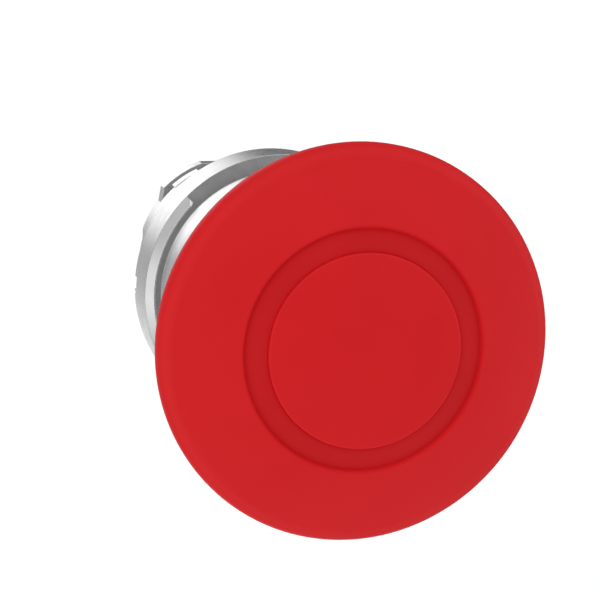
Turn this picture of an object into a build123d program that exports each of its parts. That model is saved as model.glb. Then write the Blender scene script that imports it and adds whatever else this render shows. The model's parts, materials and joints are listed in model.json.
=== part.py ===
from build123d import *
import os
from math import cos, radians, sin, sqrt, tan

# Push-pull emergency stop head: a 40 mm mushroom on a chromed bezel for a 22 mm panel hole.
# The frame's origin is where the button's axis crosses the panel's front face. +Z points out of
# the panel to the operator and +Y is up on a vertical panel. Millimetres throughout.
# Heights are given at rest, with the mushroom pulled out. Pushing moves the plunger towards -Z.

# ---- driving dimensions -------------------------------------------------------------------
STROKE = 5.5  # travel of the plunger, from pulled out to latched in
SLIDE_GAP = 0.05  # radial clearance of everything that slides
END_GAP = 0.1  # left at each end stop

# Bezel, outside
FLANGE_R = 14.45  # bezel radius at its front edge
FLANGE_REAR_R = 14.25  # the side tapers back to this at the panel
FLANGE_Z = 5.5  # height of the flat front ring
FLANGE_EDGE_R = 0.3  # rounding of the edge that meets the panel
NOTCH_WIDTH = 1.9  # index notch in that edge, left and right
NOTCH_DEPTH = 0.25
NOTCH_HEIGHT = 1.0
COLLAR_R = 12.7  # collar that rises inside the front ring
COLLAR_TOP_R = 12.6
COLLAR_Z = 12.5
COLLAR_EDGE_R = 0.8
LIP_R = 13.6  # inner radius of the raised lip arcs
LIP_HEIGHT = 1.0
LIP_CROWN = 0.15  # width of the flat on top of a lip
LIP_ARC = 90.0  # each of the two lip arcs, centred left and right
LIP_END_CHAMFER = 0.45
LIP_STEP = 0.05  # a lip starts this far inside the flange's edge
BARREL_R = 11.0  # goes through the 22.3 mm panel hole
BARREL_Z = -11.4  # the full-size barrel ends here
NECKED_R = 10.2  # rear body between the bayonet lugs
REAR_Z = -15.2  # rear end of the bezel body
FLAT_X = 9.7  # side flats on the rear body, left and right
FLAT_HALF_WIDTH = 3.4

# Bayonet lugs and the short guide blocks in front of them
LUG_COUNT = 4
LUG_FIRST_ANGLE = 31.9  # middle of the first lug
LUG_ARC = 25.7  # full-height part of a lug
LUG_RAMP = 9.6  # steep ramp at the anticlockwise end
LUG_LAND_R = 10.5  # flat land at the clockwise end, square to the X or Y axis
LUG_LAND_END = 6.0  # angle that the land takes to fall away at its end
LUG_R = 11.1
LUG_ROOT_R = 10.0  # the ramps run a little way into the body
LUG_FRONT_Z = -13.6
LUG_REAR_Z = -15.0
BLOCK_R = 11.1
BLOCK_ARC = 16.5
BLOCK_OFFSET = 0.7  # the block's middle lies this far anticlockwise of the lug's
BLOCK_Z = -12.3

# Bezel, inside
BORE_R = 9.0  # rear bore for the guide sleeve and latch cage
BORE_TOP_Z = 7.5
WEB_R = 8.3  # hole in the web between bore and seal pocket
POCKET_R = 10.6  # seal pocket, open at the collar's mouth
POCKET_Z = 9.6
SEAL_WALL_R = 8.8  # inside of the wiper's body
SEAL_LIP_TOP = 0.9  # the wiping lip, measured down from the collar's front edge
SEAL_LIP_REAR = 1.3
SEAL_LIP_ROOT_Z = 10.5  # the lip's rear side meets the wiper's body here
RETAINER_THICK = 0.5
RETAINER_INSET = 0.1
RETAINER_GAP = 0.5  # round the neck
GASKET_INNER_R = 11.6
GASKET_OUTER_R = 13.2
GASKET_DEPTH = 1.0
CIRCLIP_GROOVE_R = 9.3
CIRCLIP_TOP_Z = -13.4
CIRCLIP_THICK = 0.8
CIRCLIP_EYE_R = 8.05  # where the pliers' eyes stand
CIRCLIP_EYE_OUTER_R = 0.95
CIRCLIP_HOLE_R = 0.45

# Mushroom cap
CAP_R = 20.0
CAP_TOP_Z = 37.9  # top of the dome
DOME_R = 50.0  # radius of the domed face
CAP_EDGE_R = 2.0  # rounding at the cap's widest line, and the thickness of its wall
SKIRT_TAPER = 26.0  # the skirt narrows to the rear at this angle
CAP_RIM_Z = 29.0  # lower edge of the skirt
RIM_EDGE_R = 0.6
GROOVE_R = 12.3  # outer radius of the ring groove in the face
GROOVE_DEPTH = 0.3
GROOVE_SLOPE = 0.3  # the groove's outer wall leans outwards by this much
GROOVE_EDGE_R = 0.2
DISC_R = 9.8  # centre disc
DISC_EDGE_R = 0.25
DISC_WALL = 1.4
DISC_GAP = 0.02  # the disc is pressed in
DISC_SCREW_GAP = 0.3  # left between the disc and the screw's head
CAP_FLOOR_Z = 33.1  # seat of the lock washer, inside the disc's pocket
CAP_FLOOR_THICK = 2.0
HUB_R = 11.0  # socket under the cap that takes the neck
HUB_REAR_Z = 27.3
HUB_ROOT_Z = 33.6  # the face is thicker from here to the hub
HUB_ROOT_R = 15.0
RIB_COUNT = 4
RIB_THICK = 1.4
RIB_REAR_Z = 30.2

# Neck sleeve
NECK_R = 7.9
NECK_BORE_R = 6.2
NECK_REAR_Z = 3.0
NECK_FLARE_Z = 18.6  # the part below this passes through the seal
NECK_FLARE_R = 10.2
NECK_FLARE_HEIGHT = 2.4
NECK_FLARE_EDGE_R = 1.5
NECK_SHOULDER_R = 11.0
NECK_SPIGOT_R = 9.6  # fits the cap's socket
NECK_HEAD_THICK = 2.5
CORE_INNER_R = 7.4  # groove that keeps the neck's wall even
CORE_OUTER_R = 8.4
CORE_FLOOR_Z = 22.0
SEAL_GROOVE_HALF_WIDTH = 0.6  # for the O-ring
KEY_WIDTH = 3.0
KEY_HEIGHT = 2.0
KEY_R = 8.8

# Guide sleeve
SLEEVE_REAR_Z = -4.5
DOWEL_R = 0.75
DOWEL_Z = -2.4
DOWEL_ANGLE = 45.0

# Latch: spring-loaded pins that ride up a cone on the stem and drop into its groove
CONE_SLOPE = 0.2  # radial pin travel per millimetre of stroke
PIN_Z = -8.0
PIN_R = 1.75
PIN_CONTACT_R = 2.6  # cone radius level with the pins at rest
PIN_TAIL_X = 7.2
PIN_POCKET_R = 1.2
PIN_POCKET_X = 5.2
CONE_REAR_Z = -10.0
DETENT_DEPTH = 0.3
DETENT_RADIUS = 1.9
CAGE_REAR_Z = -12.6
CAGE_BORE_R = 4.4
CAGE_REAR_BORE_R = 5.0
CAGE_STEP_Z = -10.3

# Stem
STEM_R = 4.0
STEM_COLLAR_R = 6.1
STEM_COLLAR_Z = 12.0
STEM_COLLAR_THICK = 2.0
STEM_UPPER_R = 3.4
STEM_HEAD_THICK = 3.0
STEM_TAIL_R = 1.6
STEM_TAIL_SHOULDER_Z = -10.6
STEM_TAIL_Z = -14.1

# Pusher that works the contact blocks
PUSHER_R = 6.6
PUSHER_Z = -14.6
PUSHER_THICK = 1.5
PUSHER_HUB_R = 4.7
PUSHER_RECESS_R = 3.5
PUSHER_CHAMFER = 0.3
CLIP_Z = -13.75
CLIP_THICK = 0.4
CLIP_R = 3.0
CLIP_GROOVE_R = 1.2
CLIP_MOUTH = 2.1
CLIP_RELIEF_R = 0.55  # the two reliefs that form the clip's prongs
CLIP_RELIEF_OFFSET = 0.35

# Cap screw
SCREW_R = 1.5
SCREW_HOLE_R = 1.7  # clearance hole
SCREW_HEAD_R = 2.9
SCREW_HEAD_HEIGHT = 1.7
SCREW_REAR_Z = 23.0
SCREW_EDGE_R = 0.5
CROSS_LENGTH = 3.0
CROSS_WIDTH = 0.8
CROSS_DEPTH = 1.0
WASHER_THICK = 0.4
WASHER_SPLIT = 0.4

# O-ring between neck and cap
SEAL_MEAN_R = 4.6
SEAL_SECTION_R = 0.4

# Springs
RETURN_WIRE = 0.8
RETURN_MEAN_R = 5.15
RETURN_TURNS = 6
SEAT_THICK = 0.4
LATCH_WIRE = 0.3
LATCH_MEAN_R = 0.9
LATCH_TURNS = 5

# ---- values that follow from them ---------------------------------------------------------
NECK_TOP_Z = CAP_FLOOR_Z - CAP_FLOOR_THICK
STEM_HEAD_Z = NECK_TOP_Z - NECK_HEAD_THICK
CAGE_TOP_Z = SLEEVE_REAR_Z
SPRING_SEAT_Z = CAGE_TOP_Z + SEAT_THICK
NOSE_X = PIN_CONTACT_R + (PIN_R + 0.6 * SLIDE_GAP) * sqrt(1 + CONE_SLOPE**2)
CIRCLIP_REAR_Z = CIRCLIP_TOP_Z - CIRCLIP_THICK
WASHER_TOP_Z = CAP_FLOOR_Z + WASHER_THICK
SCREW_TOP_Z = WASHER_TOP_Z + SCREW_HEAD_HEIGHT
CAP_EDGE_CENTRE_R = CAP_R - CAP_EDGE_R


# ---- helpers ------------------------------------------------------------------------------
def turned(*outline, arc=360.0, start=0.0):
    """Solid of revolution about Z from a closed outline of (radius, height) points."""
    face = make_face(Polyline(*[(r, 0, z) for r, z in outline], close=True))
    return Rot(0, 0, start) * revolve(face, Axis.Z, revolution_arc=arc)


def ring(inner, outer, low, high):
    """Plain ring, or a disc where the inner radius is 0."""
    body = Pos(0, 0, low) * extrude(Circle(outer), high - low)
    if inner > 0:
        body -= Pos(0, 0, low - 1) * extrude(Circle(inner), high - low + 2)
    return body


def block(x, y, low, high, centre=(0, 0)):
    """Box of size x by y between two heights."""
    return Pos(centre[0], centre[1], (low + high) / 2) * Box(x, y, high - low)


def polar(radius, angle):
    """Point at a radius and an angle in degrees."""
    return (radius * cos(radians(angle)), radius * sin(radians(angle)))


def dome_z(radius, drop=0.0):
    """Height of the domed cap face at a radius, or of the sphere a distance inside it."""
    sphere = DOME_R - drop
    return CAP_TOP_Z - DOME_R + sqrt(sphere**2 - radius**2)


def cone_r(z):
    """Radius of the latch cone on the stem at a height."""
    return PIN_CONTACT_R + CONE_SLOPE * (z - PIN_Z)


def coil(mean_r, wire, turns, length):
    """Open-coiled compression spring standing on the XY plane, within its length."""
    helix = Edge.make_helix((length - wire) / turns, length - wire, mean_r)
    section = Plane(origin=helix @ 0, z_dir=helix % 0) * Circle(wire / 2)
    return Pos(0, 0, wire / 2) * sweep(section, path=helix, is_frenet=True)


def radial_rod(radius, near, far, z, angle=0.0):
    """Round rod along a radius of the button."""
    rod = Plane.YZ * extrude(Circle(radius), far - near)
    return Rot(0, 0, angle) * (Pos(near, 0, z) * rod)


def round_edges(body, radius, z):
    """The circular edges of a body that have a given radius and height."""
    circles = body.edges().filter_by(GeomType.CIRCLE)
    near = [e for e in circles if abs(e.radius - radius) < 0.01]
    return [e for e in near if abs(e.arc_center.Z - z) < 0.01]


# ---- bezel --------------------------------------------------------------------------------
def lip(start):
    """One raised arc on the front edge of the bezel, bevelled outwards and at both ends."""
    arc = turned(
        (LIP_R, FLANGE_Z - 0.5),
        (FLANGE_R - LIP_STEP, FLANGE_Z - 0.5),
        (FLANGE_R, FLANGE_Z),
        (LIP_R + LIP_CROWN, FLANGE_Z + LIP_HEIGHT),
        (LIP_R, FLANGE_Z + LIP_HEIGHT),
        arc=LIP_ARC,
        start=start,
    )
    crown = FLANGE_Z + LIP_HEIGHT
    for end in (start, start + LIP_ARC):
        cutter = Rot(0, 0, 45) * Box(LIP_END_CHAMFER * sqrt(2), LIP_END_CHAMFER * sqrt(2), 6)
        arc -= Rot(0, 0, end) * (Pos(LIP_R, 0, crown) * (Rot(0, 90, 0) * cutter))
    return arc


def lug(middle):
    """Bayonet lug with a ramp at one end and a flat land at the other, and its guide block."""
    low = middle - LUG_ARC / 2
    high = middle + LUG_ARC / 2
    land_angle = 90 * round(low / 90)
    corner_low = polar(LUG_R, low)
    corner_high = polar(LUG_R, high)
    land_end = polar(LUG_LAND_R, land_angle)
    foot_low = polar(LUG_ROOT_R, land_angle - LUG_LAND_END)
    foot_high = polar(LUG_ROOT_R, high + LUG_RAMP)
    root = polar(LUG_ROOT_R, middle)
    outline = [
        Line(land_end, corner_low),
        ThreePointArc(corner_low, polar(LUG_R, middle), corner_high),
        Polyline(corner_high, foot_high, root, foot_low, land_end),
    ]
    hook = Pos(0, 0, LUG_REAR_Z) * extrude(make_face(outline), LUG_FRONT_Z - LUG_REAR_Z)
    guide = turned(
        (LUG_ROOT_R, BLOCK_Z),
        (BLOCK_R, BLOCK_Z),
        (BLOCK_R, BARREL_Z + 0.5),
        (LUG_ROOT_R, BARREL_Z + 0.5),
        arc=BLOCK_ARC,
        start=middle + BLOCK_OFFSET - BLOCK_ARC / 2,
    )
    return hook + guide


def bezel_body():
    """Die-cast bezel: flange, collar and panel barrel in one piece, bored for the mechanism."""
    body = turned(
        (BORE_R, REAR_Z),
        (NECKED_R, REAR_Z),
        (NECKED_R, BARREL_Z),
        (BARREL_R, BARREL_Z),
        (BARREL_R, 0),
        (FLANGE_REAR_R, 0),
        (FLANGE_R, FLANGE_Z),
        (COLLAR_R, FLANGE_Z),
        (COLLAR_TOP_R, COLLAR_Z),
        (POCKET_R, COLLAR_Z),
        (POCKET_R, POCKET_Z),
        (WEB_R, POCKET_Z),
        (WEB_R, BORE_TOP_Z),
        (BORE_R, BORE_TOP_Z),
    )
    body = fillet(round_edges(body, FLANGE_REAR_R, 0), FLANGE_EDGE_R)
    body = fillet(round_edges(body, COLLAR_TOP_R, COLLAR_Z), COLLAR_EDGE_R)
    for side in (0, 180):
        body += lip(side - LIP_ARC / 2)
    for index in range(LUG_COUNT):
        body += lug(LUG_FIRST_ANGLE + index * 360 / LUG_COUNT)
    for side in (-1, 1):
        body -= block(2, 2 * FLAT_HALF_WIDTH, REAR_Z - 1, BARREL_Z, (side * (FLAT_X + 1), 0))
        notch_x = FLANGE_REAR_R - NOTCH_DEPTH + 1
        body -= block(2, NOTCH_WIDTH, -1, NOTCH_HEIGHT, (side * notch_x, 0))
    body -= ring(GASKET_INNER_R, GASKET_OUTER_R, 0, GASKET_DEPTH)
    body -= ring(BORE_R - 0.5, CIRCLIP_GROOVE_R, CIRCLIP_REAR_Z - SLIDE_GAP, CIRCLIP_TOP_Z)
    body -= radial_rod(DOWEL_R, BORE_R - 1, BARREL_R + 1, DOWEL_Z, DOWEL_ANGLE)
    return body


def panel_gasket():
    """Rubber ring in the groove behind the flange, flush with the panel face."""
    return ring(GASKET_INNER_R, GASKET_OUTER_R, 0, GASKET_DEPTH)


def wiper_seal():
    """Rubber ring whose lip wipes the neck."""
    top = COLLAR_Z - RETAINER_THICK - RETAINER_INSET
    return turned(
        (POCKET_R, POCKET_Z),
        (POCKET_R, top),
        (SEAL_WALL_R, top),
        (NECK_R + SLIDE_GAP, COLLAR_Z - SEAL_LIP_TOP),
        (NECK_R + SLIDE_GAP, COLLAR_Z - SEAL_LIP_REAR),
        (SEAL_WALL_R, SEAL_LIP_ROOT_Z),
        (SEAL_WALL_R, POCKET_Z),
    )


def seal_retainer():
    """Pressed ring that holds the wiper in the collar's mouth."""
    top = COLLAR_Z - RETAINER_INSET
    return ring(NECK_R + RETAINER_GAP, POCKET_R, top - RETAINER_THICK, top)


# ---- guide sleeve and latch ---------------------------------------------------------------
def guide_sleeve():
    """Plain bearing for the neck, with two keyways that end in the pulled-out stop."""
    sleeve = ring(NECK_R + SLIDE_GAP, BORE_R, SLEEVE_REAR_Z, BORE_TOP_Z)
    slot_top = NECK_REAR_Z + KEY_HEIGHT + END_GAP
    for side in (-1, 1):
        sleeve -= block(
            KEY_WIDTH + 2 * SLIDE_GAP, 3, SLEEVE_REAR_Z - 1, slot_top, (0, side * (NECK_R + 1.2))
        )
    return sleeve - radial_rod(DOWEL_R, NECK_R + 0.5, BORE_R + 1, DOWEL_Z, DOWEL_ANGLE)


def sleeve_dowel():
    """Pin that stops the guide sleeve turning in the bezel."""
    return radial_rod(DOWEL_R, NECK_R + 0.5, BARREL_R - 0.1, DOWEL_Z, DOWEL_ANGLE)


def latch_cage():
    """Block that carries the two radial latch pins. Its tongues in the keyways stop the keys."""
    cage = ring(CAGE_BORE_R, BORE_R - 0.02, CAGE_REAR_Z, CAGE_TOP_Z)
    cage -= ring(0, CAGE_REAR_BORE_R, CAGE_REAR_Z - 1, CAGE_STEP_Z)
    for angle in (0, 180):
        cage -= radial_rod(PIN_R + SLIDE_GAP, 1, BORE_R + 1, PIN_Z, angle)
    stop_z = NECK_REAR_Z - STROKE - END_GAP
    ledge = ring(NECK_R + SLIDE_GAP, BORE_R - 0.1, CAGE_TOP_Z - 0.5, stop_z)
    for side in (-1, 1):
        cage += ledge & block(KEY_WIDTH, 4, CAGE_TOP_Z - 0.5, stop_z, (0, side * BORE_R))
    return cage


def latch_pin(angle):
    """Hardened pin with a round nose on the cone and a pocket for its spring."""
    pin = radial_rod(PIN_R, NOSE_X, PIN_TAIL_X, PIN_Z) + Pos(NOSE_X, 0, PIN_Z) * Sphere(PIN_R)
    pin -= radial_rod(PIN_POCKET_R, PIN_POCKET_X, PIN_TAIL_X + 1, PIN_Z)
    return Rot(0, 0, angle) * pin


def latch_spring(angle):
    """Spring between the pocket of a latch pin and the bezel's bore."""
    spring = coil(LATCH_MEAN_R, LATCH_WIRE, LATCH_TURNS, BORE_R - 0.1 - PIN_POCKET_X)
    return Rot(0, 0, angle) * (Pos(PIN_POCKET_X, 0, PIN_Z) * (Rot(0, 90, 0) * spring))


def spring_seat():
    """Steel washer under the return spring."""
    return ring(CAGE_BORE_R + 0.1, NECK_BORE_R - 0.2, CAGE_TOP_Z, SPRING_SEAT_Z)


def return_spring():
    """Spring around the stem that helps the head back out."""
    length = STEM_COLLAR_Z - SPRING_SEAT_Z
    return Pos(0, 0, SPRING_SEAT_Z) * coil(RETURN_MEAN_R, RETURN_WIRE, RETURN_TURNS, length)


def rear_plate():
    """Steel ring that closes the latch cage at the back."""
    return ring(PUSHER_R + 0.4, BORE_R - 0.05, CIRCLIP_TOP_Z, CAGE_REAR_Z)


def retaining_ring():
    """Internal circlip that holds the mechanism in the bezel."""
    hoop = ring(BORE_R - 0.8, CIRCLIP_GROOVE_R - 0.05, CIRCLIP_REAR_Z, CIRCLIP_TOP_Z)
    gap = Polyline((0, 0), polar(2 * BORE_R, 250), polar(2 * BORE_R, 290), close=True)
    hoop -= Pos(0, 0, CIRCLIP_REAR_Z) * extrude(make_face(gap), CIRCLIP_THICK)
    for angle in (246, 294):
        x, y = polar(CIRCLIP_EYE_R, angle)
        eye = ring(0, CIRCLIP_EYE_OUTER_R, CIRCLIP_REAR_Z, CIRCLIP_TOP_Z)
        hole = ring(0, CIRCLIP_HOLE_R, CIRCLIP_REAR_Z, CIRCLIP_TOP_Z)
        hoop = hoop + Pos(x, y, 0) * eye - Pos(x, y, 0) * hole
    return hoop


# ---- plunger ------------------------------------------------------------------------------
def edge_point(angle):
    """Point on the rounding at the cap's widest line, at an angle above the horizontal."""
    centre_z = dome_z(CAP_EDGE_CENTRE_R, CAP_EDGE_R)
    across, up = polar(CAP_EDGE_R, angle)
    return (CAP_EDGE_CENTRE_R + across, 0, centre_z + up)


def mushroom_cap():
    """Hollow mushroom with a ring groove in its domed face and a pocket for the centre disc."""
    dome_end = CAP_EDGE_CENTRE_R * DOME_R / (DOME_R - CAP_EDGE_R)
    dome_middle = (GROOVE_R + dome_end) / 2
    skirt_top = edge_point(-SKIRT_TAPER)
    rim_r = skirt_top[0] - (skirt_top[2] - CAP_RIM_Z) * tan(radians(SKIRT_TAPER))
    rim_inner_r = rim_r - CAP_EDGE_R / cos(radians(SKIRT_TAPER))
    pocket_r = DISC_R + DISC_GAP
    socket_r = NECK_SPIGOT_R + SLIDE_GAP
    outline = [
        Polyline(
            (SCREW_HOLE_R, 0, CAP_FLOOR_Z),
            (pocket_r, 0, CAP_FLOOR_Z),
            (pocket_r, 0, dome_z(pocket_r) - GROOVE_DEPTH),
            (GROOVE_R - GROOVE_SLOPE, 0, dome_z(GROOVE_R) - GROOVE_DEPTH),
            (GROOVE_R, 0, dome_z(GROOVE_R)),
        ),
        ThreePointArc(
            (GROOVE_R, 0, dome_z(GROOVE_R)),
            (dome_middle, 0, dome_z(dome_middle)),
            (dome_end, 0, dome_z(dome_end)),
        ),
        ThreePointArc((dome_end, 0, dome_z(dome_end)), edge_point(20), skirt_top),
        Polyline(
            skirt_top,
            (rim_r, 0, CAP_RIM_Z),
            (rim_inner_r, 0, CAP_RIM_Z),
            (CAP_EDGE_CENTRE_R, 0, dome_z(CAP_EDGE_CENTRE_R, CAP_EDGE_R)),
            (HUB_ROOT_R, 0, dome_z(HUB_ROOT_R, CAP_EDGE_R)),
            (HUB_R, 0, HUB_ROOT_Z),
            (HUB_R, 0, HUB_REAR_Z),
            (socket_r, 0, HUB_REAR_Z),
            (socket_r, 0, NECK_TOP_Z),
            (SCREW_HOLE_R, 0, NECK_TOP_Z),
            (SCREW_HOLE_R, 0, CAP_FLOOR_Z),
        ),
    ]
    cap = revolve(make_face(outline), Axis.Z)
    rim_edges = round_edges(cap, rim_r, CAP_RIM_Z) + round_edges(cap, rim_inner_r, CAP_RIM_Z)
    cap = fillet(rim_edges, RIM_EDGE_R)
    cap = fillet(round_edges(cap, GROOVE_R, dome_z(GROOVE_R)), GROOVE_EDGE_R)
    rib = block(
        CAP_EDGE_CENTRE_R - HUB_R + 0.6,
        RIB_THICK,
        RIB_REAR_Z,
        HUB_ROOT_Z + 0.1,
        ((CAP_EDGE_CENTRE_R + HUB_R) / 2, 0),
    )
    for index in range(RIB_COUNT):
        cap += Rot(0, 0, 45 + index * 360 / RIB_COUNT) * rib
    return cap


def cap_centre_disc():
    """Domed disc that covers the cap screw and forms the inner side of the ring groove."""
    under_z = SCREW_TOP_Z + DISC_SCREW_GAP
    shell = turned(
        (0, under_z),
        (DISC_R - DISC_WALL, under_z),
        (DISC_R - DISC_WALL, CAP_FLOOR_Z),
        (DISC_R, CAP_FLOOR_Z),
        (DISC_R, CAP_TOP_Z + 1),
        (0, CAP_TOP_Z + 1),
    )
    disc = shell & (Pos(0, 0, CAP_TOP_Z - DOME_R) * Sphere(DOME_R))
    return fillet(round_edges(disc, DISC_R, dome_z(DISC_R)), DISC_EDGE_R)


def cap_screw():
    """Cross-head machine screw that clamps the cap and the neck to the stem."""
    head = ring(0, SCREW_HEAD_R, WASHER_TOP_Z, SCREW_TOP_Z)
    head = fillet(head.edges().group_by(Axis.Z)[-1], SCREW_EDGE_R)
    screw = head + ring(0, SCREW_R, SCREW_REAR_Z, WASHER_TOP_Z)
    for x, y in ((CROSS_LENGTH, CROSS_WIDTH), (CROSS_WIDTH, CROSS_LENGTH)):
        screw -= block(x, y, SCREW_TOP_Z - CROSS_DEPTH, SCREW_TOP_Z + 1)
    return screw


def lock_washer():
    """Split spring washer under the screw's head."""
    washer = ring(SCREW_R + 0.15, SCREW_HEAD_R - 0.1, CAP_FLOOR_Z, WASHER_TOP_Z)
    return washer - block(4, WASHER_SPLIT, CAP_FLOOR_Z - 1, WASHER_TOP_Z + 1, (3, 0))


def neck_sleeve():
    """Sleeve that slides through the wiper and carries the cap, with two keys at its rear end."""
    neck = turned(
        (NECK_BORE_R, NECK_REAR_Z),
        (NECK_R, NECK_REAR_Z),
        (NECK_R, NECK_FLARE_Z),
        (NECK_FLARE_R, NECK_FLARE_Z + NECK_FLARE_HEIGHT),
        (NECK_SHOULDER_R, HUB_REAR_Z),
        (NECK_SPIGOT_R, HUB_REAR_Z),
        (NECK_SPIGOT_R, NECK_TOP_Z),
        (SCREW_HOLE_R, NECK_TOP_Z),
        (SCREW_HOLE_R, STEM_HEAD_Z),
        (NECK_BORE_R, STEM_HEAD_Z),
    )
    flare_edge = round_edges(neck, NECK_FLARE_R, NECK_FLARE_Z + NECK_FLARE_HEIGHT)
    neck = fillet(flare_edge, NECK_FLARE_EDGE_R)
    neck -= ring(CORE_INNER_R, CORE_OUTER_R, CORE_FLOOR_Z, NECK_TOP_Z)
    groove_inner = SEAL_MEAN_R - SEAL_GROOVE_HALF_WIDTH
    groove_outer = SEAL_MEAN_R + SEAL_GROOVE_HALF_WIDTH
    neck -= ring(groove_inner, groove_outer, NECK_TOP_Z - 2 * SEAL_SECTION_R, NECK_TOP_Z)
    keys = ring(NECK_R - 0.4, KEY_R, NECK_REAR_Z, NECK_REAR_Z + KEY_HEIGHT)
    for side in (-1, 1):
        key = block(KEY_WIDTH, 4, NECK_REAR_Z, NECK_REAR_Z + KEY_HEIGHT, (0, side * KEY_R))
        neck += keys & key
    return neck


def cap_seal_ring():
    """O-ring between the neck and the cap, which keeps water out of the screw hole."""
    return Pos(0, 0, NECK_TOP_Z - SEAL_SECTION_R) * Torus(SEAL_MEAN_R, SEAL_SECTION_R)


def plunger_stem():
    """Turned stem: clamped head, spring collar, latch cone with its groove, and a tail."""
    detent_z = PIN_Z + STROKE + (PIN_R - DETENT_DEPTH) * CONE_SLOPE
    stem = turned(
        (0, STEM_HEAD_Z),
        (STEM_COLLAR_R, STEM_HEAD_Z),
        (STEM_COLLAR_R, STEM_HEAD_Z - STEM_HEAD_THICK),
        (STEM_UPPER_R, STEM_HEAD_Z - STEM_HEAD_THICK - 1.5),
        (STEM_UPPER_R, STEM_COLLAR_Z + STEM_COLLAR_THICK + 1.0),
        (STEM_COLLAR_R, STEM_COLLAR_Z + STEM_COLLAR_THICK),
        (STEM_COLLAR_R, STEM_COLLAR_Z),
        (STEM_R, STEM_COLLAR_Z),
        (STEM_R, PIN_Z + (STEM_R - PIN_CONTACT_R) / CONE_SLOPE),
        (cone_r(CONE_REAR_Z), CONE_REAR_Z),
        (cone_r(CONE_REAR_Z), STEM_TAIL_SHOULDER_Z),
        (STEM_TAIL_R, STEM_TAIL_SHOULDER_Z),
        (STEM_TAIL_R, STEM_TAIL_Z),
        (0, STEM_TAIL_Z),
    )
    ridge_r = cone_r(detent_z) - DETENT_DEPTH + DETENT_RADIUS
    stem -= Pos(0, 0, detent_z) * Torus(ridge_r, DETENT_RADIUS)
    stem -= ring(0, SCREW_R, SCREW_REAR_Z - 1, STEM_HEAD_Z)
    stem -= ring(CLIP_GROOVE_R, 3, CLIP_Z, CLIP_Z + CLIP_THICK)
    return stem


def actuator_pusher():
    """Moulded pusher on the stem's tail, whose rear face works the contact blocks."""
    top = PUSHER_Z + PUSHER_THICK
    pusher = ring(0, PUSHER_R, PUSHER_Z, top)
    pusher = chamfer(pusher.edges().group_by(Axis.Z)[0], PUSHER_CHAMFER)
    pusher += ring(0, PUSHER_HUB_R, top - 0.5, STEM_TAIL_SHOULDER_Z)
    pusher -= ring(0, STEM_TAIL_R, PUSHER_Z - 1, STEM_TAIL_SHOULDER_Z + 1)
    return pusher - ring(0, PUSHER_RECESS_R, PUSHER_Z - 1, CLIP_Z + CLIP_THICK)


def e_clip():
    """E-clip that holds the pusher on the stem."""
    clip = ring(CLIP_GROOVE_R, CLIP_R, CLIP_Z, CLIP_Z + CLIP_THICK)
    clip -= block(CLIP_MOUTH, 4, CLIP_Z - 1, CLIP_Z + 1, (0, -2))
    for angle in (35, 145):
        x, y = polar(CLIP_GROOVE_R + CLIP_RELIEF_OFFSET, angle)
        clip -= Pos(x, y, 0) * ring(0, CLIP_RELIEF_R, CLIP_Z, CLIP_Z + CLIP_THICK)
    return clip


# ---- the assembly -------------------------------------------------------------------------
PARTS = {
    "bezel_body": bezel_body(),
    "panel_gasket": panel_gasket(),
    "wiper_seal": wiper_seal(),
    "seal_retainer": seal_retainer(),
    "guide_sleeve": guide_sleeve(),
    "sleeve_dowel": sleeve_dowel(),
    "latch_cage": latch_cage(),
    "latch_pin_right": latch_pin(0),
    "latch_pin_left": latch_pin(180),
    "latch_spring_right": latch_spring(0),
    "latch_spring_left": latch_spring(180),
    "spring_seat": spring_seat(),
    "return_spring": return_spring(),
    "rear_plate": rear_plate(),
    "retaining_ring": retaining_ring(),
    "mushroom_cap": mushroom_cap(),
    "cap_centre_disc": cap_centre_disc(),
    "cap_screw": cap_screw(),
    "lock_washer": lock_washer(),
    "cap_seal_ring": cap_seal_ring(),
    "neck_sleeve": neck_sleeve(),
    "plunger_stem": plunger_stem(),
    "actuator_pusher": actuator_pusher(),
    "e_clip": e_clip(),
}

os.makedirs("parts", exist_ok=True)
for node, solid in PARTS.items():
    export_step(solid, f"parts/{node}.step")
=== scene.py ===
"""Finishes, coil springs, studio and camera for a push-pull emergency stop head.

Metres. The button's axis is +Z, out of the panel to the operator, with the panel at z = 0.
"""

import json
from math import cos, pi, radians, sin

import bmesh
import bpy
from mathutils import Matrix, Vector


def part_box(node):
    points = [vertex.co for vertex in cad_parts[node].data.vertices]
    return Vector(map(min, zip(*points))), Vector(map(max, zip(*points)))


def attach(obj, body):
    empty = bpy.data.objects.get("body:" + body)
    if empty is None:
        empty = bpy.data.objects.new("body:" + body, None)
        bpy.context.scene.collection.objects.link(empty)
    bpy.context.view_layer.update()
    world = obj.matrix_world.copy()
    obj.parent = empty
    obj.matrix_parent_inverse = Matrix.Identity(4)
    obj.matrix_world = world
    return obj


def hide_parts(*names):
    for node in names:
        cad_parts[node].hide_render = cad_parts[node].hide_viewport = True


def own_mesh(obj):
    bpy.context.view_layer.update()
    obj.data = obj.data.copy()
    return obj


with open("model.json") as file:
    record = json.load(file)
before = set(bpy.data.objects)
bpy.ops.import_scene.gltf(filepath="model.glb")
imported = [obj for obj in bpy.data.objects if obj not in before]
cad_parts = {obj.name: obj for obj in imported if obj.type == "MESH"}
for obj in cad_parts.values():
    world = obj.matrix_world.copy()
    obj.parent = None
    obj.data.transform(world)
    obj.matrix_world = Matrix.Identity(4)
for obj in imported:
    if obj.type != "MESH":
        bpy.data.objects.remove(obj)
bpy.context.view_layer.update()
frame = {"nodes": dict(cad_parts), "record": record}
nodes = frame["nodes"]

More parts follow.
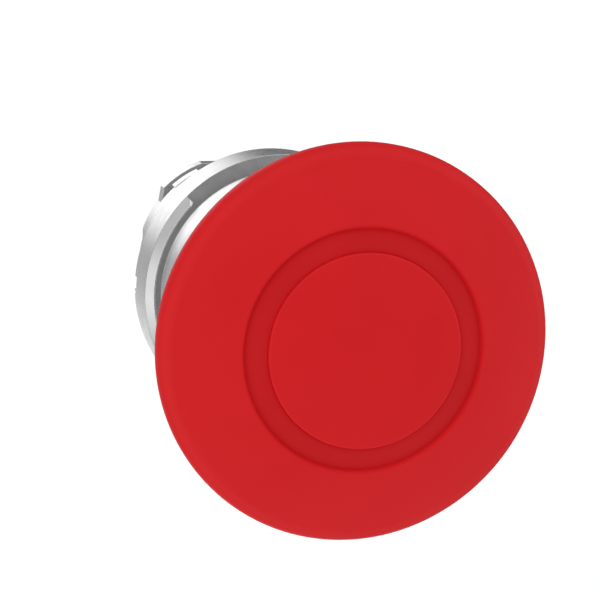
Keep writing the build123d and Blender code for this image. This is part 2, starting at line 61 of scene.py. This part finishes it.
# Viewing angle: the button's axis leans away from the line of sight by TILT, and its front end
# points to the lower right in the picture, LEAN degrees below the horizontal.
TILT = radians(19.54)
LEAN = radians(35.14)
TARGET_HEIGHT = 0.0131  # the point on the axis that the camera turns round
CAMERA_DISTANCE = 0.417
FOCAL_LENGTH = 243.0
SENSOR_WIDTH = 36.0
NEAR_CLIP = 0.01
FRAME_SHIFT = (0.0019, 0.0076)  # nudges the framing, as a part of the picture's width

FLOOR_Z = -0.060
FLOOR_SIZE = 3.0
FLOOR_GLOW = 0.32  # light that comes through the backdrop paper

# Rows of soft lights round the button. Each light is full near its own direction and fades out
# into the dim room: (elevation, full within, faded at, {azimuth: strength}), in degrees.
ROOM_LEVEL = 0.17
LIGHT_ROWS = (
    (12, 8, 38, {15: 0.88, 60: 0.75, 105: 0.65, 150: 0.44}),
    (12, 8, 38, {195: 1.08, 240: 0.85, 285: 0.74, 330: 0.85}),
    (68, 5, 30, {325: 0.07}),
    (40, 10, 42, {30: 0.28, 90: 0.48, 145: 0.58, 200: 0.26, 260: 0.34}),
    (-68, 3, 23, {116: 1.55}),
    (-62, 3, 28, {200: 0.35}),
    (-60, 3, 30, {285: 0.85}),
)
BACKDROP_LEVEL = 1.0  # plain white, where the camera looks past the floor

# Painted corner shade: how far round a point its corner is felt, and how closed a corner counts
# fully.
GROOVE = (0.003, 0.86)
CORNER = (0.0012, 0.5)
CORNER_SAMPLES = 12
EDGE_SAMPLES = 6

# The floor of the cap's ring groove, darkened with painted shade, starts at the centre disc.
GROOVE_WIDTH = 0.00235
GROOVE_BLUR = 0.0001
GROOVE_PAINTED_SHADE = 0.14  # painted shade: the share of its colour that the groove floor loses

RETURN_COIL = {"mean_r": 0.00515, "wire": 0.0008, "active_turns": 5}
LATCH_COIL = {"mean_r": 0.0009, "wire": 0.0003, "active_turns": 5}
END_TURNS = 2  # one closed turn at each end
GROUND_PART = 0.15  # an end turn starts this part of a wire above its ground face
STEPS_PER_TURN = 40
WIRE_SIDES = 14


# ---- node helpers -------------------------------------------------------------------------
class Shader:
    """A material under construction, with short calls for the nodes that this scene uses."""

    def __init__(self, name):
        self.material = bpy.data.materials.new(name)
        self.material.use_nodes = True
        self.tree = self.material.node_tree
        self.bsdf = self.tree.nodes["Principled BSDF"]

    def node(self, kind, **values):
        made = self.tree.nodes.new(kind)
        for key, value in values.items():
            if key in made.inputs:
                made.inputs[key].default_value = value
            else:
                setattr(made, key, value)
        return made

    def link(self, output, target):
        self.tree.links.new(output, target)

    def coordinates(self, scale=(1, 1, 1)):
        place = self.node("ShaderNodeTexCoord")
        mapping = self.node("ShaderNodeMapping")
        mapping.inputs["Scale"].default_value = scale
        self.link(place.outputs["Object"], mapping.inputs["Vector"])
        return mapping.outputs["Vector"]

    def noise(self, scale, detail=3.0, roughness=0.5, stretch=(1, 1, 1)):
        """Noise whose largest features are about 1 / scale metres across."""
        made = self.node("ShaderNodeTexNoise", Scale=scale, Detail=detail, Roughness=roughness)
        self.link(self.coordinates(stretch), made.inputs["Vector"])
        return made.outputs["Fac"]

    def spread(self, value, low, high, from_low=0.3, from_high=0.7):
        """Maps a value to a new range, by default from the one that noise mostly keeps to."""
        made = self.node("ShaderNodeMapRange")
        made.inputs["From Min"].default_value = from_low
        made.inputs["From Max"].default_value = from_high
        made.inputs["To Min"].default_value = low
        made.inputs["To Max"].default_value = high
        self.link(value, made.inputs["Value"])
        return made.outputs["Result"]

    def blend(self, factor, first, second):
        """Mixes two colours, given as red, green and blue."""
        made = self.node("ShaderNodeMix", data_type="RGBA")
        made.inputs["A"].default_value = (*first, 1)
        made.inputs["B"].default_value = (*second, 1)
        self.link(factor, made.inputs["Factor"])
        return made.outputs["Result"]

    def painted_corner_shade(self, low, high, reach, closed):
        """Painted shade: low in a corner that sees only the closed share of its surroundings, high on
        open faces.
        """
        made = self.node("ShaderNodeAmbientOcclusion", samples=CORNER_SAMPLES, Distance=reach)
        return self.spread(made.outputs["AO"], low, high, closed, 1.0)

    def outside_ring(self, inner, outer, soft, amount):
        """1 everywhere but between two radii round the button's axis, and 1 - amount there."""
        radius = self.node("ShaderNodeVectorMath", operation="LENGTH")
        self.link(self.coordinates((1, 1, 0)), radius.inputs[0])
        rise = self.spread(radius.outputs["Value"], 0, amount, inner - soft, inner + soft)
        fall = self.spread(radius.outputs["Value"], 1, 0, outer - soft, outer + soft)
        made = self.node("ShaderNodeMath", operation="MULTIPLY")
        self.link(rise, made.inputs[0])
        self.link(fall, made.inputs[1])
        rest = self.node("ShaderNodeMath", operation="SUBTRACT")
        rest.inputs[0].default_value = 1
        self.link(made.outputs["Value"], rest.inputs[1])
        return rest.outputs["Value"]

    def scale(self, colour, factor):
        """Makes a colour lighter or darker by a factor."""
        made = self.node("ShaderNodeVectorMath", operation="SCALE")
        self.link(colour, made.inputs[0])
        self.link(factor, made.inputs["Scale"])
        return made.outputs["Vector"]

    def bumps(self, *layers, edge=0.0):
        """Chains bump layers of (height, strength, distance), on top of softened edges."""
        normal = None
        if edge > 0:
            normal = self.node("ShaderNodeBevel", samples=EDGE_SAMPLES, Radius=edge).outputs["Normal"]
        for height, strength, distance in layers:
            made = self.node("ShaderNodeBump", Strength=strength, Distance=distance)
            self.link(height, made.inputs["Height"])
            if normal is not None:
                self.link(normal, made.inputs["Normal"])
            normal = made.outputs["Normal"]
        self.link(normal, self.bsdf.inputs["Normal"])

    def set(self, **values):
        """Sets or links inputs of the surface, named with underscores for spaces."""
        for key, value in values.items():
            target = self.bsdf.inputs[key.replace("_", " ")]
            if isinstance(value, bpy.types.NodeSocket):
                self.link(value, target)
            else:
                target.default_value = value


# ---- materials ----------------------------------------------------------------------------
def red_plastic():
    """Satin injection-moulded plastic, spark-eroded, with painted shade that darkens the floor of the
    ring groove and dims its reflections in corners such as the groove.
    """
    s = Shader("red_plastic")
    cloud = s.noise(120, detail=2)
    grain = s.noise(9000, detail=2)
    disc_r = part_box("cap_centre_disc")[1].x
    # painted shade: the colour on the floor of the ring groove is darkened
    groove_painted_shade = s.outside_ring(disc_r, disc_r + GROOVE_WIDTH, GROOVE_BLUR, GROOVE_PAINTED_SHADE)
    tint = s.blend(s.spread(cloud, 0, 1), (0.715, 0.0135, 0.017), (0.745, 0.015, 0.019))
    s.set(
        Base_Color=s.scale(tint, groove_painted_shade),
        Roughness=s.spread(s.noise(2500), 0.42, 0.5),
        # painted shade on the reflections: the specular fades out in corners
        Specular_IOR_Level=s.painted_corner_shade(0.0, 0.12, *GROOVE),
    )
    s.bumps((grain, 0.12, 0.00002), (s.noise(600), 0.1, 0.00002), edge=0.00008)
    return s.material


def satin_chrome():
    """Satin chrome over die-cast zinc, with faint casting ripple, a fine blasted grain, and painted
    shade that darkens its colour in corners.
    """
    s = Shader("satin_chrome")
    grain = s.noise(7000, detail=3)
    cloud = s.spread(s.noise(300, detail=4), 0, 1)
    tint = s.blend(cloud, (0.71, 0.705, 0.71), (0.76, 0.755, 0.76))
    s.set(
        # painted shade: the colour darkens in corners
        Base_Color=s.scale(tint, s.painted_corner_shade(0.75, 1.0, *CORNER)),
        Metallic=1.0,
        Roughness=s.spread(s.noise(900, detail=4), 0.25, 0.33),
    )
    s.bumps((s.noise(160), 0.05, 0.00004), (grain, 0.10, 0.00001), edge=0.00012)
    return s.material


def turned_steel(name, dark, light, rough):
    """Machined or plated steel with fine turning marks round the axis."""
    s = Shader(name)
    marks = s.noise(500, detail=5, stretch=(0.05, 0.05, 12))
    s.set(
        Base_Color=s.blend(s.spread(s.noise(400), 0, 1), dark, light),
        Metallic=1.0,
        Roughness=s.spread(marks, *rough),
    )
    s.bumps((marks, 0.15, 0.00002), edge=0.00005)
    return s.material


def rubber():
    """Matt nitrile rubber with a dusty bloom."""
    s = Shader("black_rubber")
    bloom = s.noise(350, detail=5, roughness=0.6)
    s.set(
        Base_Color=s.blend(s.spread(bloom, 0, 1), (0.011, 0.011, 0.011), (0.032, 0.031, 0.03)),
        Roughness=s.spread(bloom, 0.6, 0.8),
        Specular_IOR_Level=0.3,
    )
    s.bumps((s.noise(5000), 0.25, 0.00003), edge=0.0001)
    return s.material


def acetal(name, dark, light, rough):
    """Slick engineering plastic with slight flow marks."""
    s = Shader(name)
    flow = s.noise(200, detail=4, stretch=(1, 1, 0.3))
    s.set(
        Base_Color=s.blend(s.spread(flow, 0, 1), dark, light),
        Roughness=s.spread(s.noise(1500), *rough),
        Specular_IOR_Level=0.45,
    )
    s.bumps((s.noise(6000), 0.12, 0.00002), edge=0.0001)
    return s.material


def floor_paper():
    """Matt white backdrop paper."""
    s = Shader("floor_paper")
    fibre = s.noise(60, detail=5)
    s.set(
        Base_Color=s.blend(s.spread(fibre, 0, 1), (0.90, 0.90, 0.90), (0.93, 0.93, 0.93)),
        Roughness=0.9,
        Specular_IOR_Level=0.1,
        Emission_Color=(1, 1, 1, 1),
        Emission_Strength=FLOOR_GLOW,
    )
    s.bumps((s.noise(900), 0.1, 0.0002))
    return s.material


FINISHES = {
    "red_plastic": red_plastic(),
    "chromed_zamak": satin_chrome(),
    "black_rubber": rubber(),
    "hard_steel": turned_steel("hard_steel", (0.42, 0.42, 0.44), (0.5, 0.5, 0.52), (0.25, 0.4)),
    "spring_steel": turned_steel("spring_steel", (0.34, 0.34, 0.36), (0.42, 0.42, 0.44), (0.2, 0.35)),
    "zinc_plated_steel": turned_steel(
        "zinc_plated_steel", (0.6, 0.62, 0.65), (0.7, 0.71, 0.72), (0.22, 0.38)
    ),
    "white_acetal": acetal("white_acetal", (0.62, 0.6, 0.55), (0.7, 0.69, 0.64), (0.3, 0.4)),
    "black_acetal": acetal("black_acetal", (0.012, 0.012, 0.013), (0.022, 0.022, 0.024), (0.3, 0.42)),
}


def dress_cad_nodes():
    """Gives every CAD node the finish of its slot, and hides it from mirror-like reflections."""
    for part in frame["record"]["subparts"]:
        made = nodes[part["node"]]
        made.data.materials.clear()
        made.data.materials.append(FINISHES[part["material_slot"]])
        made.visible_glossy = False


# ---- springs ------------------------------------------------------------------------------
def spring(name, length, mean_r, wire, active_turns):
    """Compression spring along +Z from the origin, with closed and ground ends."""
    steps = (active_turns + END_TURNS) * STEPS_PER_TURN
    low, high = wire * GROUND_PART, length - wire * GROUND_PART
    pitch = (high - low - END_TURNS * wire) / active_turns
    bm = bmesh.new()
    rings = []
    for step in range(steps + 1):
        turn = step / STEPS_PER_TURN
        height = low + wire * min(turn, 1) + pitch * min(max(turn - 1, 0), active_turns)
        height += wire * max(turn - 1 - active_turns, 0)
        angle = 2 * pi * turn
        outwards = Vector((cos(angle), sin(angle), 0))
        loop = []
        for side in range(WIRE_SIDES):
            around = 2 * pi * side / WIRE_SIDES
            point = outwards * (mean_r + wire / 2 * cos(around))
            point.z = min(max(height + wire / 2 * sin(around), 0), length)
            loop.append(bm.verts.new(point))
        rings.append(loop)
    for first, second in zip(rings, rings[1:]):
        for side in range(WIRE_SIDES):
            after = (side + 1) % WIRE_SIDES
            bm.faces.new((first[side], second[side], second[after], first[after]))
    bm.faces.new(rings[0])
    bm.faces.new(rings[-1][::-1])
    bmesh.ops.recalc_face_normals(bm, faces=bm.faces)
    mesh = bpy.data.meshes.new(name)
    bm.to_mesh(mesh)
    bm.free()
    for polygon in mesh.polygons:
        polygon.use_smooth = len(polygon.vertices) == 4
    mesh.materials.append(FINISHES["spring_steel"])
    made = bpy.data.objects.new(name, mesh)
    bpy.context.scene.collection.objects.link(made)
    return made


def make_return_spring():
    """Ground-ended spring round the stem, built at rest; the head squeezes it towards its seat as it
    goes in.
    """
    low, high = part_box("return_spring")
    coil = spring("return_coil", length=high.z - low.z, **RETURN_COIL)
    coil.data.transform(Matrix.Translation((0, 0, low.z)))
    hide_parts("return_spring")
    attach(coil, "housing")
    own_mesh(coil)


def make_latch_spring(side, hand):
    """Ground-ended spring behind a latch pin, on the side of +X (1) or -X (-1)."""
    node = "latch_spring_" + hand
    low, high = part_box(node)
    inner, outer = (low.x, high.x) if side > 0 else (high.x, low.x)
    middle_z = (low.z + high.z) / 2
    coil = spring("latch_coil_" + hand, length=abs(outer - inner), **LATCH_COIL)
    lay = Matrix.Rotation(side * pi / 2, 4, "Y")
    coil.data.transform(Matrix.Translation((inner, 0, middle_z)) @ lay)
    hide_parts(node)
    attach(coil, "housing")
    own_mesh(coil)


# ---- stage --------------------------------------------------------------------------------
def make_floor():
    """Backdrop paper well behind the button, which only the camera sees."""
    half = FLOOR_SIZE / 2
    mesh = bpy.data.meshes.new("floor")
    corners = [(-half, -half), (half, -half), (half, half), (-half, half)]
    mesh.from_pydata([(x, y, FLOOR_Z) for x, y in corners], [], [(0, 1, 2, 3)])
    floor = bpy.data.objects.new("floor", mesh)
    mesh.materials.append(floor_paper())
    for rays in ("visible_diffuse", "visible_glossy", "visible_shadow", "visible_transmission"):
        setattr(floor, rays, False)
    bpy.context.scene.collection.objects.link(floor)


def direction(azimuth, elevation):
    """Unit vector at an azimuth from +X and an elevation from the level of z = 0, in degrees."""
    level = cos(radians(elevation))
    across = (level * cos(radians(azimuth)), level * sin(radians(azimuth)))
    return (*across, sin(radians(elevation)))


def soft_light(tree, place, centre, full, faded, strength):
    """Strength of one soft light, seen in the direction place and centred on its own."""
    toward = tree.nodes.new("ShaderNodeVectorMath")
    toward.operation = "DOT_PRODUCT"
    toward.inputs[1].default_value = centre
    tree.links.new(place, toward.inputs[0])
    fade = tree.nodes.new("ShaderNodeMapRange")
    fade.interpolation_type = "SMOOTHSTEP"
    fade.inputs["From Min"].default_value = cos(radians(faded))
    fade.inputs["From Max"].default_value = cos(radians(full))
    fade.inputs["To Max"].default_value = strength
    tree.links.new(toward.outputs["Value"], fade.inputs["Value"])
    return fade.outputs["Result"]


def make_studio():
    """Soft lights in a dim room, with a plain white backdrop for the camera alone."""
    world = bpy.data.worlds.new("studio")
    world.use_nodes = True
    tree = world.node_tree
    place = tree.nodes.new("ShaderNodeTexCoord").outputs["Generated"]
    total = tree.nodes.new("ShaderNodeValue").outputs["Value"]
    total.default_value = ROOM_LEVEL
    for elevation, full, faded, strengths in LIGHT_ROWS:
        for azimuth, strength in strengths.items():
            centre = direction(azimuth, elevation)
            light = soft_light(tree, place, centre, full, faded, strength)
            both = tree.nodes.new("ShaderNodeMath")
            tree.links.new(total, both.inputs[0])
            tree.links.new(light, both.inputs[1])
            total = both.outputs["Value"]
    straight = tree.nodes.new("ShaderNodeLightPath").outputs["Is Camera Ray"]
    seen = tree.nodes.new("ShaderNodeMix")
    seen.inputs["B"].default_value = BACKDROP_LEVEL
    tree.links.new(straight, seen.inputs["Factor"])
    tree.links.new(total, seen.inputs["A"])
    back = tree.nodes["Background"]
    back.inputs["Color"].default_value = (1, 1, 1, 1)
    tree.links.new(seen.outputs["Result"], back.inputs["Strength"])
    world.cycles.sampling_method = "NONE"
    bpy.context.scene.world = world


def make_camera():
    """Long lens, leaning off the button's axis, with +Y upwards in the picture."""
    towards = Vector((-sin(TILT) * cos(LEAN), sin(TILT) * sin(LEAN), cos(TILT)))
    axis = Vector((0, 0, 1))
    shown_axis = (axis - towards * axis.dot(towards)).normalized()
    across = towards.cross(shown_axis)
    right = cos(LEAN) * shown_axis + sin(LEAN) * across
    up = -sin(LEAN) * shown_axis + cos(LEAN) * across
    data = bpy.data.cameras.new("camera")
    data.lens = FOCAL_LENGTH
    data.sensor_width = SENSOR_WIDTH
    data.shift_x, data.shift_y = FRAME_SHIFT
    data.clip_start = NEAR_CLIP
    camera = bpy.data.objects.new("camera", data)
    place = Vector((0, 0, TARGET_HEIGHT)) + towards * CAMERA_DISTANCE
    turn = Matrix((right, up, towards)).transposed().to_4x4()
    camera.matrix_world = Matrix.Translation(place) @ turn
    bpy.context.scene.collection.objects.link(camera)
    bpy.context.scene.camera = camera


dress_cad_nodes()
make_return_spring()
make_latch_spring(1, "right")
make_latch_spring(-1, "left")
make_floor()
make_studio()
make_camera()
bpy.context.scene.view_settings.view_transform = "Standard"
